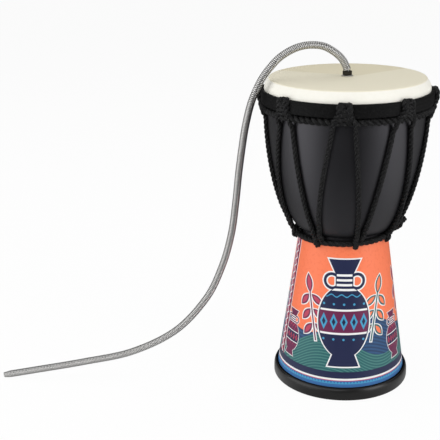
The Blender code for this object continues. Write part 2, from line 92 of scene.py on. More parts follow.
# The coil spring's middle line, the same points that the solid follows
SPRING_RADIUS = 0.0038
SPRING_WIRE_RADIUS = 0.0008
SPRING_TAPER_LENGTH = 0.0070
SPRING_TAPER = 0.34
SPRING_ROUTE = (
    (0.0, 0.0, 0.3309), (-0.0022, -0.0008, 0.3368), (-0.0058, -0.0022, 0.3428),
    (-0.0125, -0.0048, 0.3493), (-0.0229, -0.0088, 0.3557), (-0.0345, -0.0132, 0.3579),
    (-0.0460, -0.0177, 0.3570), (-0.0574, -0.0220, 0.3527), (-0.0689, -0.0264, 0.3446),
    (-0.0812, -0.0312, 0.3297), (-0.0891, -0.0342, 0.3145), (-0.0943, -0.0330, 0.3002),
    (-0.0986, -0.0292, 0.2832), (-0.1019, -0.0266, 0.2661), (-0.1070, -0.0231, 0.2317),
    (-0.1110, -0.0212, 0.1968), (-0.1162, -0.0208, 0.1613), (-0.1264, -0.0216, 0.1254),
    (-0.1439, -0.0238, 0.0888), (-0.1773, -0.0291, 0.0522), (-0.2244, -0.0366, 0.0286),
    (-0.2766, -0.0448, 0.0179), (-0.3289, -0.0530, 0.0097), (-0.3639, -0.0584, 0.0044),
)

# The white sweep under the drum: how white it shows, and how bright reflections see it
FLOOR_WHITENESS = 0.95
FLOOR_FRONT_GLOW = 0.46
FLOOR_SIDE_GLOW = 2.15
FLOOR_REAR_GLOW = 0.20

# The world's even light on the drum, beside what the lamps give
WORLD_GLOW = 0.22

# Inks of the printed wrap, and how softly they end
CORAL, DEEP_CORAL = (0.955, 0.212, 0.092), (0.885, 0.180, 0.074)
NAVY, BLUE, DEEP_BLUE = (0.016, 0.022, 0.070), (0.026, 0.085, 0.205), (0.018, 0.048, 0.120)
TEAL, PALE_TEAL = (0.026, 0.125, 0.130), (0.065, 0.215, 0.205)
PLUM, ROSE = (0.150, 0.020, 0.075), (0.480, 0.050, 0.100)
SKY, COBALT, WHITE = (0.060, 0.330, 0.560), (0.038, 0.150, 0.385), (0.86, 0.86, 0.86)
INK_EDGE = 0.00025

# Ropes of laid strands, which sink a little into each other where they cross
ROPE_RADIUS = 0.0026
ROPE_LAY = 0.0150
HITCH_SWELL = 1.46
TIE_SWELL = 1.18
RUNNING_ROPE_RADIUS = 0.0038
RUNNING_HEIGHT = CROWN_LOW - RUNNING_ROPE_RADIUS - 0.0004
OVER_RUNNING_ROPE = RIM_RADIUS + 2 * RUNNING_ROPE_RADIUS - 0.0008
LEG_END = RUNNING_HEIGHT - 0.0030
BOTTOM_ROPE_RADIUS = 0.0033
HITCH_RADIUS = CROWN_RADIUS + 0.0015
CORD_SMOOTHING = 60.0

# How far round from a hitch's middle its legs end, and the one leg that ends nearer
LEG_REACH = 0.0109
NEARER_RIGHT_LEGS = {1: 0.0063}


# Camera, floor and lights

def make_camera():
    """The photograph's viewpoint, in radians, solved from the drum's ellipses and outline."""
    place = Vector((0.0, -0.96291, 0.49686))
    turn, dip, roll = -0.1343, 0.3250, -0.0170
    focal_pixels = 961.03
    picture_pixels = 440
    forward = Vector((sin(turn) * cos(dip), cos(turn) * cos(dip), -sin(dip)))
    level = Vector((cos(turn), -sin(turn), 0.0))
    above = level.cross(forward)
    right = level * cos(roll) + above * sin(roll)
    up = above * cos(roll) - level * sin(roll)
    lens = bpy.data.cameras.new("camera")
    lens.sensor_width = 36.0
    lens.lens = focal_pixels / picture_pixels * lens.sensor_width
    lens.shift_x = -0.5 / picture_pixels
    lens.shift_y = 0.5 / picture_pixels
    lens.clip_start = 0.05
    lens.clip_end = 20.0
    camera = bpy.data.objects.new("camera", lens)
    columns = Matrix((right, up, -forward)).transposed().to_4x4()
    camera.matrix_world = Matrix.Translation(place) @ columns
    bpy.context.scene.collection.objects.link(camera)
    bpy.context.scene.camera = camera


def area_light(name, place, aim, size, power):
    lamp = bpy.data.lights.new(name, "AREA")
    lamp.shape = "RECTANGLE"
    lamp.size, lamp.size_y = size
    lamp.energy = power
    made = bpy.data.objects.new(name, lamp)
    made.location = place
    made.rotation_euler = (Vector(aim) - Vector(place)).to_track_quat("-Z", "Y").to_euler()
    bpy.context.scene.collection.objects.link(made)


def make_lights():
    """Soft boxes to the left, to the right, in front and overhead."""
    middle = (0.0, 0.0, 0.18)
    area_light("left_box", (-1.25, -0.60, 0.55), middle, (1.80, 1.3), 12.5)
    area_light("right_box", (1.25, -0.70, 0.55), middle, (0.80, 1.1), 10.0)
    area_light("front_fill", (-0.3, -1.9, 1.1), middle, (1.2, 0.7), 7.5)
    area_light("top_box", (0.0, 0.25, 1.5), middle, (2.6, 2.2), 15.5)


def mix_shaders(tree, share, under, over):
    """The shader over, laid on the one under by this share; all three are sockets."""
    mix = tree.nodes.new("ShaderNodeMixShader")
    for slot, source in zip(mix.inputs, (share, under, over)):
        tree.links.new(source, slot)
    return mix.outputs[0]


def make_world():
    """White where it shows; reflections see it dim, and dimmer behind the viewer."""
    world = bpy.data.worlds.new("studio")
    bpy.context.scene.world = world
    world.use_nodes = True
    tree = world.node_tree
    tree.nodes.clear()

    def white(strength):
        layer = tree.nodes.new("ShaderNodeBackground")
        layer.inputs["Color"].default_value = (1.0, 1.0, 1.0, 1.0)
        if isinstance(strength, float):
            layer.inputs["Strength"].default_value = strength
        else:
            tree.links.new(strength, layer.inputs["Strength"])
        return layer.outputs[0]

    direction = tree.nodes.new("ShaderNodeTexCoord")
    parts = tree.nodes.new("ShaderNodeSeparateXYZ")
    tree.links.new(direction.outputs["Generated"], parts.inputs[0])
    behind = tree.nodes.new("ShaderNodeMapRange")
    ranges = {"From Min": -0.2, "From Max": 0.9, "To Min": 0.04, "To Max": 0.12}
    for name, value in ranges.items():
        behind.inputs[name].default_value = value
    tree.links.new(parts.outputs["Y"], behind.inputs["Value"])
    path = tree.nodes.new("ShaderNodeLightPath")
    seen = tree.nodes.new("ShaderNodeMath")
    seen.operation = "MAXIMUM"
    tree.links.new(path.outputs["Is Camera Ray"], seen.inputs[0])
    tree.links.new(path.outputs["Is Transmission Ray"], seen.inputs[1])
    mirrored = white(behind.outputs["Result"])
    glow = mix_shaders(tree, path.outputs["Is Glossy Ray"], white(WORLD_GLOW), mirrored)
    shown = mix_shaders(tree, seen.outputs[0], glow, white(1.0))
    out = tree.nodes.new("ShaderNodeOutputWorld")
    tree.links.new(shown, out.inputs["Surface"])


def make_floor():
    """A white sweep, which shows nearly white and keeps a soft shadow of the drum.

    Reflections see it bright to the sides, dim near the drum and behind it, and shaded
    along the line where the spring lies.
    """
    deselect_all()
    bpy.ops.mesh.primitive_plane_add(size=8.0, location=(0.0, 0.0, 0.0))
    floor = bpy.context.object
    floor.name = "studio_floor"
    look = Finish("floor_white")
    look.shader(colour=(0.90, 0.90, 0.90), roughness=0.9)
    x, y = look.where()[:2]
    distance = (x * x + y * y).root() + 0.0001
    away = distance.above(0.38, 0.25)
    sideways = (abs(x) / distance).above(0.72, 0.50)
    before = (x.most(0.0) * 0.35 - y).above(0.12, 0.6)
    side = away * 1.35 - distance.above(0.85, 0.4) * 0.4 + 0.4
    side = side * (x.above(0.0, 0.1) * -0.50 + 1.0) * FLOOR_SIDE_GLOW
    front = (1.0 - away) * y.below(0.06, 0.20) * FLOOR_FRONT_GLOW + 0.02
    rear = y.above(0.30, 0.6) * FLOOR_REAR_GLOW
    spring_line = SPRING_ROUTE[-1][1] / SPRING_ROUTE[-1][0]
    under_spring = (y - x * spring_line).within(0.016, 0.026, 0.03) * x.below(-0.23, 0.12)
    lit = (sideways * before * side + front + rear) * (1.0 - under_spring * 0.65)
    path = look.node("ShaderNodeLightPath")
    glossy = Signal(look, path.outputs["Is Glossy Ray"])
    glow = look.node("ShaderNodeEmission", Color=glossy * (lit - 1.0) + 1.0, Strength=1.0)
    seen = Signal(look, path.outputs["Is Camera Ray"])
    seen = seen.most(Signal(look, path.outputs["Is Transmission Ray"]))
    share = (seen * FLOOR_WHITENESS).most(glossy)
    mix = mix_shaders(look.tree, share.socket, look.principled.outputs[0], glow.outputs[0])
    look.tree.links.new(mix, look.output.inputs["Surface"])
    floor.data.materials.append(look.material)


# Shader maths

class Signal:
    """A shader value that takes Python's operators; each one adds a Math node."""

    def __init__(self, look, socket):
        self.look = look
        self.socket = socket

    def math(self, operation, *others):
        made = self.look.node("ShaderNodeMath", {"operation": operation})
        for slot, value in zip(made.inputs, (self, *others)):
            self.look.feed(slot, value)
        return Signal(self.look, made.outputs[0])

    def __add__(self, other):
        return self.math("ADD", other)

    def __radd__(self, other):
        return self.math("ADD", other)

    def __sub__(self, other):
        return self.math("SUBTRACT", other)

    def __rsub__(self, other):
        return (self * -1.0) + other

    def __mul__(self, other):
        return self.math("MULTIPLY", other)

    def __rmul__(self, other):
        return self.math("MULTIPLY", other)

    def __truediv__(self, other):
        return self.math("DIVIDE", other)

    def __abs__(self):
        return self.math("ABSOLUTE")

    def least(self, other):
        return self.math("MINIMUM", other)

    def most(self, other):
        return self.math("MAXIMUM", other)

    def sine(self):
        return self.math("SINE")

    def root(self):
        return self.math("SQRT")

    def ramp(self, slope, offset):
        """This times the slope plus the offset, held between 0 and 1."""
        made = self.math("MULTIPLY_ADD", slope, offset)
        made.socket.node.use_clamp = True
        return made

    def below(self, edge, soft):
        """1 where this is under the edge, 0 above it, over a soft step."""
        return self.ramp(-1.0 / soft, edge / soft + 0.5)

    def above(self, edge, soft):
        return self.ramp(1.0 / soft, 0.5 - edge / soft)

    def within(self, centre, half, soft):
        """1 in the band of this half width round the centre."""
        return abs(self - centre).below(half, soft)

    def wave(self, period):
        """A sine of this period."""
        return (self * (tau / period)).sine()

    def sawtooth(self, period):
        """Distance from the middle of the nearest repeat."""
        return self.math("WRAP", period / 2, -period / 2)


class Finish:
    """A material under construction: one Principled shader and what feeds it."""

    def __init__(self, name):
        self.material = bpy.data.materials.new(name)
        self.material.use_nodes = True
        self.tree = self.material.node_tree
        self.principled = self.tree.nodes["Principled BSDF"]
        self.output = self.tree.nodes["Material Output"]

    def feed(self, slot, value):
        """Set a socket to a number or colour, or link a signal or socket to it."""
        if isinstance(value, Signal):
            value = value.socket
        if isinstance(value, bpy.types.NodeSocket):
            self.tree.links.new(value, slot)
        elif slot.type == "RGBA" and len(value) == 3:
            slot.default_value = (*value, 1.0)
        else:
            slot.default_value = value

    def node(self, kind, settings=None, **inputs):
        """A node of this type, its settings first, then its inputs by name."""
        made = self.tree.nodes.new(kind)
        for name, value in (settings or {}).items():
            setattr(made, name, value)
        for name, value in inputs.items():
            self.feed(made.inputs[name.replace("_", " ")], value)
        return made

    def where(self):
        """The point in the object's own metres, as three signals."""
        coordinates = self.node("ShaderNodeTexCoord")
        parts = self.node("ShaderNodeSeparateXYZ", Vector=coordinates.outputs["Object"])
        return [Signal(self, parts.outputs[axis]) for axis in "XYZ"]

    def noise(self, scale, detail=3.0):
        """Noise from 0 to 1, its scale in lumps per metre."""
        coordinates = self.node("ShaderNodeTexCoord").outputs["Object"]
        made = self.node("ShaderNodeTexNoise", Vector=coordinates, Scale=scale, Detail=detail)
        return Signal(self, made.outputs["Fac"])

    def blend(self, share, under, over):
        """Colour under, with colour over laid on it by this share."""
        made = self.node("ShaderNodeMix", {"data_type": "RGBA"})
        for slot, value in ((0, share), (6, under), (7, over)):
            self.feed(made.inputs[slot], value)
        return made.outputs[2]

    def bump(self, height, distance, strength):
        made = self.node("ShaderNodeBump", Height=height, Distance=distance, Strength=strength)
        return made.outputs["Normal"]

    def shader(self, colour, roughness, metallic=0.0, normal=None, specular=0.5, tint=None):
        inputs = self.principled.inputs
        self.feed(inputs["Base Color"], colour)
        self.feed(inputs["Roughness"], roughness)
        self.feed(inputs["Metallic"], metallic)
        inputs["Specular IOR Level"].default_value = specular
        if tint:
            self.feed(inputs["Specular Tint"], tint)
        if normal is not None:
            self.feed(inputs["Normal"], normal)
        return self.material


# Finishes

def shell_finish():
    """Satin black moulding with a faint orange peel."""
    look = Finish("satin_black_shell")
    peel = look.noise(900.0, 2.0)
    drift = look.noise(22.0, 3.0)
    colour = look.blend(drift, (0.0055, 0.0055, 0.0062), (0.0085, 0.0085, 0.0096))
    roughness = drift * 0.06 + 0.40
    cool = (0.93, 0.91, 1.0)
    return look.shader(colour, roughness, normal=look.bump(peel, 0.00005, 0.3), tint=cool)


def foot_finish():
    """Moulded rubber: matt, with rubbed spots on its edge."""
    look = Finish("foot_rubber")
    grain = look.noise(1500.0, 3.0)
    rub = look.noise(60.0, 4.0)
    colour = look.blend(rub, (0.0020, 0.0020, 0.0020), (0.0050, 0.0050, 0.0050))
    dents = look.bump(grain, 0.00004, 0.4)
    return look.shader(colour, rub * 0.12 + 0.29, normal=dents, specular=0.50)


def skin_finish():
    """Coated skin: a warmer playing face, a paler collar, two faint creases, and painted shade on
    the face behind them.
    """
    look = Finish("drum_skin")
    x, y, z = look.where()
    radius = (x * x + y * y).root()
    face = radius.below(HEAD_FLAT_RADIUS, 0.0006) * z.above(HEAD_TOP - 0.0012, 0.0004)
    cloudy = look.noise(28.0, 4.0)
    left_line = (y * -1.0) - x * 0.33 + 0.0079
    right_line = (y * -1.0) + x * 0.92 - 0.0056
    # rear marks the part of the face behind both crease lines, where shade is painted into the
    # colour
    rear = left_line.below(0.0, 0.0045) * right_line.below(0.0, 0.0045)
    face_colour = look.blend(cloudy, (0.830, 0.778, 0.613), (0.856, 0.806, 0.645))
    # Painted shade: that part of the face is darkened in colour
    face_colour = look.blend(rear * face * 0.8, face_colour, (0.760, 0.694, 0.505))
    fibre = look.noise(260.0, 4.0)
    collar_colour = look.blend(fibre, (0.885, 0.865, 0.780), (0.930, 0.915, 0.845))
    colour = look.blend(face, collar_colour, face_colour)
    creases = left_line.within(0.0, 0.0009, 0.0014) * x.below(0.0, 0.004)
    creases = creases.most(right_line.within(0.0, 0.0009, 0.0014) * x.above(0.0, 0.004))
    tooth = look.noise(1800.0, 3.0)
    height = tooth * 0.00003 - creases * face * 0.0002
    return look.shader(colour, 0.52, normal=look.bump(height, 1.0, 0.6), specular=0.35)


def band_finish():
    """Black cloth wound on the hoop: its laps show as faint lines round the band."""
    look = Finish("hoop_band")
    z = look.where()[2]
    grain = look.noise(700.0, 4.0)
    wear = look.noise(45.0, 4.0)
    tufts = look.noise(950.0, 2.0).above(0.57, 0.12)
    colour = look.blend(wear, (0.0018, 0.0018, 0.0020), (0.0044, 0.0044, 0.0046))
    colour = look.blend(tufts * 0.6, colour, (0.013, 0.013, 0.0135))
    laps = (z + wear * 0.0008).wave(0.0042).above(0.55, 0.5)
    height = grain * 0.00004 + laps * 0.00012
    weave = look.bump(height, 1.0, 0.6)
    return look.shader(colour, wear * 0.2 + 0.50, normal=weave, specular=0.08)


def rope_finish():
    """Black laid cord: lighter specks and flecks in its colour are painted glints of its fine
    yarns.
    """
    look = Finish("black_cord")
    fine = look.noise(2600.0, 3.0)
    broad = look.noise(420.0, 3.0)
    painted_glint_flecks = look.noise(1000.0, 2.0).above(0.585, 0.08)
    # Painted glints: fine specks of the cord are lightened in colour where yarns would catch
    # light
    lit = fine.above(0.60, 0.16) * 0.75
    colour = look.blend(lit, (0.0024, 0.0024, 0.0026), (0.018, 0.018, 0.019))
    colour = look.blend(broad * 0.3, colour, (0.006, 0.006, 0.0065))
    # Painted glints: scattered flecks lightened in colour
    colour = look.blend(painted_glint_flecks * 0.7, colour, (0.036, 0.036, 0.037))
    height = fine * 0.00016 + broad * 0.0003
    return look.shader(colour, 0.62, normal=look.bump(height, 1.0, 0.7), specular=0.20)


def steel_finish(name, colour, roughness, edge=(1.0, 1.0, 1.0)):
    """Metal with a faint grain; the edge colour shows where it is seen at a slant."""
    look = Finish(name)
    grain = look.noise(900.0, 3.0)
    tone = look.blend(grain, tuple(part * 0.86 for part in colour), colour)
    return look.shader(tone, grain * 0.12 + roughness, metallic=1.0, tint=edge)


class Print:
    """The wrap's picture, built up ink over ink. Its angle is in radians."""

    def __init__(self, look):
        self.look = look
        x, y, self.z = look.where()
        self.angle = x.math("ARCTAN2", y * -1.0)
        self.radius = (x * x + y * y).root()
        speckle = look.noise(330.0, 3.0)
        self.colour = look.blend(speckle.above(0.60, 0.12) * 0.6, CORAL, DEEP_CORAL)

    def round_from(self, degrees, repeats=1):
        """Arc length round the wrap from the nearest repeat of this angle."""
        return (self.angle - radians(degrees)).sawtooth(tau / repeats) * self.radius

    def lay(self, mask, ink):
        self.colour = self.look.blend(mask, self.colour, ink)

    def outlined(self, distance, ink, line):
        """Ink where the distance is under 0, inside a white line of this width."""
        self.lay(distance.below(line, INK_EDGE), WHITE)
        self.lay(distance.below(0.0, INK_EDGE), ink)


def leaf(across, up, length, width):
    """Distance into a pointed leaf round the origin, its points up and down."""
    u = up * (2.0 / length)
    half = (1.0 - u * u) * (width / 2)
    return (abs(across) - half).most(abs(up) - length / 2)


def turned_by(across, up, degrees):
    c, s = cos(radians(degrees)), sin(radians(degrees))
    return across * c + up * s, up * c - across * s


def print_dunes(wrap):
    """Two rows of dunes, striped along their crests."""
    lap = wrap.angle * 3.0
    far = (lap + 0.4).sine() * 0.011 + 0.078
    near = (lap + 2.3).sine() * 0.013 + 0.056
    ripple = (wrap.angle * 9.0).sine() * 0.0006
    far_stripe = (far - wrap.z).wave(0.0037).above(0.15, 0.8)
    near_stripe = (near - wrap.z + ripple).wave(0.0031).above(0.25, 0.8)
    blend = wrap.look.blend
    wrap.lay((far - wrap.z).above(0.0, INK_EDGE), blend(far_stripe, BLUE, DEEP_BLUE))
    wrap.lay((near - wrap.z).above(0.0, INK_EDGE), blend(near_stripe, TEAL, PALE_TEAL))


def print_sprigs(wrap, from_jar):
    """A sprig on each side of every tall jar: paired leaves on a stem, and one at its tip."""
    right_side = from_jar.above(0.0, 0.001)
    stem_across, stem_up = turned_by(abs(from_jar) - 0.0295, wrap.z - 0.060, -9.0)
    pitch = 0.0150
    rungs = (stem_up - 0.0120).sawtooth(pitch)
    tilt_across, tilt_up = turned_by(abs(stem_across) - 0.0076, rungs, 46.0)
    paired = leaf(tilt_across, tilt_up, 0.0165, 0.0075)
    paired = paired.most(abs(stem_up - 0.0270) - pitch * 1.5 + 0.0012)
    tip = leaf(stem_across, stem_up - 0.0590, 0.0200, 0.0085)
    stem = (abs(stem_across) - 0.0008).most(abs(stem_up - 0.0260) - 0.0260)
    blend = wrap.look.blend
    wrap.outlined(stem.least(paired).least(tip), blend(right_side, PLUM, TEAL), 0.0011)
    hearts = paired.least(tip).below(-0.0017, INK_EDGE)
    wrap.lay(hearts, blend(right_side, ROSE, CORAL))


def print_jar(wrap, across, foot, tall, body, fill, trim, mark):
    """A jar with a foot, a patterned belly, a ringed neck, two handles and a flared lip.

    Up runs from 0 at its foot to 1 at its lip, and body is half the belly's width.
    """
    unit = tall / 0.112
    pitch = 0.0104 * unit
    up = (wrap.z - foot) * (1.0 / tall)
    from_belt = abs(up - 0.42)
    swell = from_belt * (1.0 / 0.34)
    belly = (1.0 - swell * swell).most(0.0).root()
    side = abs(across)
    half = belly.most(0.33).most(0.60 - up * 1.6).most(up * 2.0 - 1.40) * body
    inside = (side - half).most((abs(up - 0.5) - 0.5) * tall)
    ring_x, ring_y = side - body * 0.47, (up - 0.80) * tall
    handle = abs((ring_x * ring_x + ring_y * ring_y).root() - body * 0.27) - body * 0.055
    wrap.outlined(inside.least(handle), fill, 0.0014 * unit)
    inner = inside.below(-0.0010 * unit, INK_EDGE)
    rings = up.within(0.795, 0.085, 0.004) * wrap.z.wave(0.0050 * unit).above(0.1, 0.5)
    wrap.lay(rings * inner, WHITE)
    wrap.lay(from_belt.below(0.105, 0.004) * inner, trim)
    wrap.lay(from_belt.within(0.110, 0.009, 0.003) * inner, WHITE)
    tooth = across.sawtooth(pitch)
    diamond = abs(tooth) * (1.0 / (0.0040 * unit)) + from_belt * (1.0 / 0.078)
    wrap.lay(diamond.below(1.0, 0.12) * inner, mark)
    wrap.lay(diamond.below(0.48, 0.12) * inner, fill)
    row = (from_belt - 0.165) * tall
    dots = (tooth * tooth + row * row).root().below(0.0012 * unit, INK_EDGE)
    swag = (up - 0.665) * tall + across.wave(pitch) * 0.0013
    wrap.lay(dots.most(swag.within(0.0, 0.0006, INK_EDGE)) * inner, mark)


def print_borders(wrap):
    """An upright border where the wrap's ends meet, and one round the foot."""
    side = wrap.round_from(-73.0)
    zigzag = side + abs(wrap.z.sawtooth(0.0076)) * 1.3 - 0.0024
    wrap.lay(side.within(0.0, 0.0074, INK_EDGE), WHITE)
    wrap.lay(side.within(0.0, 0.0064, INK_EDGE), ROSE)
    wrap.lay(zigzag.within(0.0, 0.0012, INK_EDGE), WHITE)
    wrap.lay(side.within(0.0045, 0.0010, INK_EDGE), NAVY)
    wrap.lay(side.within(-0.0050, 0.0008, INK_EDGE), SKY)
    for top, ink in ((0.0298, NAVY), (0.0227, WHITE), (0.0207, ROSE), (0.0199, COBALT)):
        wrap.lay(wrap.z.below(top, INK_EDGE), ink)
    bead = (wrap.angle * 0.0670).sawtooth(0.0034)
    peak = abs(bead) + (wrap.z - 0.0182) * 0.7
    wrap.lay(peak.below(0.0010, INK_EDGE) * wrap.z.above(0.0168, INK_EDGE), SKY)


def wrap_finish():
    """A printed wrap: jars and leaf sprigs over striped dunes, three times round."""
    look = Finish("printed_wrap")
    wrap = Print(look)
    from_tall_jar = wrap.round_from(3.0, 3)
    from_small_jar = wrap.round_from(63.0, 3)
    print_dunes(wrap)
    print_sprigs(wrap, from_tall_jar)
    print_jar(wrap, from_tall_jar, 0.0355, 0.1120, 0.0270, NAVY, PLUM, SKY)
    print_jar(wrap, from_small_jar, 0.0340, 0.0500, 0.0125, PLUM, NAVY, ROSE)
    print_borders(wrap)
    return look.shader(wrap.colour, 0.40, specular=0.30)


# Modelling helpers

def deselect_all():
    for thing in bpy.context.selected_objects:
        thing.select_set(False)


def finish_piece(piece, name, finish, body, stands_for, smoothing=32.0):
    """Name a piece, dress it, and let it stand for its CAD nodes on its body."""
    piece.name = piece.data.name = name
    piece.data.materials.clear()
    piece.data.materials.append(finish)
    deselect_all()
    piece.select_set(True)
    bpy.context.view_layer.objects.active = piece
    bpy.ops.object.shade_smooth_by_angle(angle=radians(smoothing))
    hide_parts(*stands_for)
    if body:
        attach(piece, body)


def polar(angle, radius, height):
    turn = radians(angle)
    return Vector((radius * sin(turn), -radius * cos(turn), height))


def degrees_for(length, radius):
    """The angle that an arc of this length takes up at this radius."""
    return length / radius * 180 / pi


def turned(profile, steps=ROUND_STEPS):
    """A closed outline of (radius, height) points, drawn by extruding and then spun."""
    deselect_all()
    bpy.ops.mesh.primitive_plane_add(size=0.001)
    piece = bpy.context.object
    bpy.ops.object.mode_set(mode="EDIT")
    bpy.ops.mesh.select_all(action="SELECT")
    bpy.ops.mesh.merge(type="CENTER")
    here = Vector((0.0, 0.0, 0.0))
    for index, (radius, height) in enumerate([*profile, profile[0]]):
        step = Vector((radius, 0.0, height)) - here
        here += step
        if index == 0:
            bpy.ops.transform.translate(value=step)
        else:
            bpy.ops.mesh.extrude_region_move(TRANSFORM_OT_translate={"value": step})
    bpy.ops.mesh.select_all(action="SELECT")
    bpy.ops.mesh.remove_doubles(threshold=0.000002)
    bpy.ops.mesh.spin(steps=steps, angle=tau, center=(0, 0, 0), axis=(0, 0, 1))
    bpy.ops.mesh.select_all(action="SELECT")
    bpy.ops.mesh.remove_doubles(threshold=0.000002)
    bpy.ops.mesh.normals_make_consistent(inside=False)
    bpy.ops.object.mode_set(mode="OBJECT")
    return piece


def arc(centre, radius, start, end, count):
    """Outline points on an arc in the (radius, height) plane, angles in degrees."""
    points = []
    for i in range(count + 1):
        turn = radians(start + (end - start) * i / count)
        points.append((centre[0] + radius * cos(turn), centre[1] + radius * sin(turn)))
    return points


def lobed_outline(strands, radius, groove, count=24):
    """A rope's cross-section: one round lobe for each strand, and grooves between."""
    points = []
    for i in range(count):
        turn = tau * i / count
        swell = abs(sin(turn * strands / 2)) ** 0.75
        reach = radius * (1 - groove + groove * swell)
        points.append((reach * cos(turn), reach * sin(turn)))
    return points


def curve_object(name, points, cyclic=False):
    curve = bpy.data.curves.new(name, "CURVE")
    curve.dimensions = "3D"
    spline = curve.splines.new("POLY")
    spline.points.add(len(points) - 1)
    for slot, point in zip(spline.points, points):
        slot.co = (*point, 1.0)
    spline.use_cyclic_u = cyclic
    made = bpy.data.objects.new(name, curve)
    bpy.context.scene.collection.objects.link(made)
    return made


def even_points(points, spacing, closed=False):
    """Points at an even spacing on a smooth curve through the given points."""
    given = [Vector(point) for point in points]
    if closed:
        ends = [given[-1]] + given + [given[0], given[1]]
    else:
        ends = [2 * given[0] - given[1]] + given + [2 * given[-1] - given[-2]]
    fine = []
    pieces = 20
    for i in range(1, len(ends) - 2):
        a, b, c, d = ends[i - 1 : i + 3]
        for k in range(pieces):
            t = k / pieces
            point = 2 * b + (c - a) * t
            point += (2 * a - 5 * b + 4 * c - d) * t * t
            point += (3 * b - a - 3 * c + d) * t * t * t
            fine.append(0.5 * point)
    fine.append(ends[-2])
    lengths = [0.0]
    for before, after in zip(fine, fine[1:]):
        lengths.append(lengths[-1] + (after - before).length)
    count = max(2, round(lengths[-1] / spacing))
    even = []
    k = 0
    for i in range(count if closed else count + 1):
        wanted = lengths[-1] * i / count
        while k < len(lengths) - 2 and lengths[k + 1] < wanted:
            k += 1
        share = (wanted - lengths[k]) / (lengths[k + 1] - lengths[k])
        even.append(fine[k].lerp(fine[k + 1], min(share, 1.0)))
    return even, lengths[-1]


def to_mesh(curve):
    """The curve as a clean mesh, its caps welded and its faces outwards."""
    deselect_all()
    curve.select_set(True)
    bpy.context.view_layer.objects.active = curve
    bpy.ops.object.convert(target="MESH")
    bpy.ops.object.mode_set(mode="EDIT")
    bpy.ops.mesh.select_all(action="SELECT")
    bpy.ops.mesh.remove_doubles(threshold=0.000005)
    bpy.ops.mesh.normals_make_consistent(inside=False)
    bpy.ops.object.mode_set(mode="OBJECT")
    return bpy.context.object


def laid_rope(
    points, radius, lay, strands=3, groove=0.30, closed=False, spacing=0.0011, swell=None
):
    """Twisted strands: a lobed outline swept along the points, one turn in each lay."""
    line, length = even_points(points, spacing, closed)
    outline = [(x, y, 0.0) for x, y in lobed_outline(strands, radius, groove)]
    profile = curve_object("outline", outline, True)
    profile.data.dimensions = "2D"
    profile.data.fill_mode = "NONE"
    rope = curve_object("rope", line, closed)
    rope.data.bevel_mode = "OBJECT"
    rope.data.bevel_object = profile
    rope.data.use_fill_caps = not closed
    turns = length / lay
    if closed:
        turns = round(turns * strands) / strands
    for i, slot in enumerate(rope.data.splines[0].points):
        slot.tilt = tau * turns * i / len(line)
        if swell:
            slot.radius = swell(i / (len(line) - 1))
    made = to_mesh(rope)
    bpy.data.objects.remove(profile)
    return made


# Sub-parts

def bowl_radius(height):
    share = (height - WAIST_HEIGHT) / (CROWN_LOW - WAIST_HEIGHT)
    share = min(max(share, 0.0), 1.0)
    swell = (1 - (1 - share) ** 2.0) ** 0.62
    return WAIST_RADIUS + (RIM_RADIUS - WAIST_RADIUS) * swell


def base_radius(height):
    share = (height - SHELL_LOW) / (WAIST_HEIGHT - SHELL_LOW)
    return BASE_RADIUS + (WAIST_RADIUS - BASE_RADIUS) * share


def bowl_slope(height):
    step = 0.002
    return (bowl_radius(height + step) - bowl_radius(height - step)) / (2 * step)


def on_bowl(height, standoff):
    """Radius of a point that stands this far off the bowl, measured square to it."""
    slope = bowl_slope(height)
    return bowl_radius(height) + standoff * sqrt(1 + slope * slope)


def make_shell(finish):
    heights = [
        WAIST_HEIGHT + (CROWN_LOW - WAIST_HEIGHT) * (i / 26) ** 1.5 for i in range(27)
    ]
    lip = arc((RIM_RADIUS - 0.0025, SHELL_TOP - 0.0025), 0.0025, 90, 0, 5)
    outer = [(RIM_RADIUS - SHELL_WALL * 0.95, SHELL_TOP - 0.0010)]
    outer += lip
    outer += [(RIM_RADIUS, COLLAR_TOP)]
    outer += [(bowl_radius(z), z) for z in reversed(heights)]
    outer.append((BASE_RADIUS, SHELL_LOW))
    inner = [(BASE_RADIUS - SHELL_WALL, SHELL_LOW)]
    inner += [(bowl_radius(z) - SHELL_WALL, z) for z in heights]
    piece = turned(outer + inner)
    finish_piece(piece, "goblet_shell", finish, "drum", ["shell"])


def make_wrap(finish):
    outset = 0.0007
    profile = [(base_radius(WRAP_TOP) + outset, WRAP_TOP)]
    profile += [(base_radius(WRAP_LOW) + outset, WRAP_LOW)]
    profile += [(base_radius(WRAP_LOW) + GAP, WRAP_LOW)]
    profile += [(base_radius(WRAP_TOP) + GAP, WRAP_TOP)]
    piece = turned(profile)
    finish_piece(piece, "wrap", finish, "drum", ["printed_wrap"])


def make_foot(finish):
    seat_outer = BASE_RADIUS + GAP
    seat_inner = BASE_RADIUS - SHELL_WALL - 3 * GAP
    bore = seat_inner - 0.0007
    floor, lip = 0.0027, 0.0060
    toe, crown = 0.0017, 0.0065
    rise = base_radius(FOOT_TOP) + GAP
    shoulder = rise + 0.0023
    profile = [(rise, FOOT_TOP - 0.0026), (rise + 0.0012, FOOT_TOP - 0.0011)]
    for i in range(9):
        turn = pi / 2 * (1 - i / 8)
        reach = shoulder + (FOOT_RADIUS - shoulder) * cos(turn)
        profile.append((reach, FOOT_TOP - crown * (1 - sin(turn))))
    profile += arc((FOOT_RADIUS - toe, toe), toe, 0, -90, 6)
    profile += [(bore, 0.0), (bore, lip), (seat_inner, lip), (seat_inner, floor)]
    profile += [(seat_outer, floor)]
    piece = turned(profile)
    finish_piece(piece, "foot_rubber", finish, "drum", ["foot_ring"])


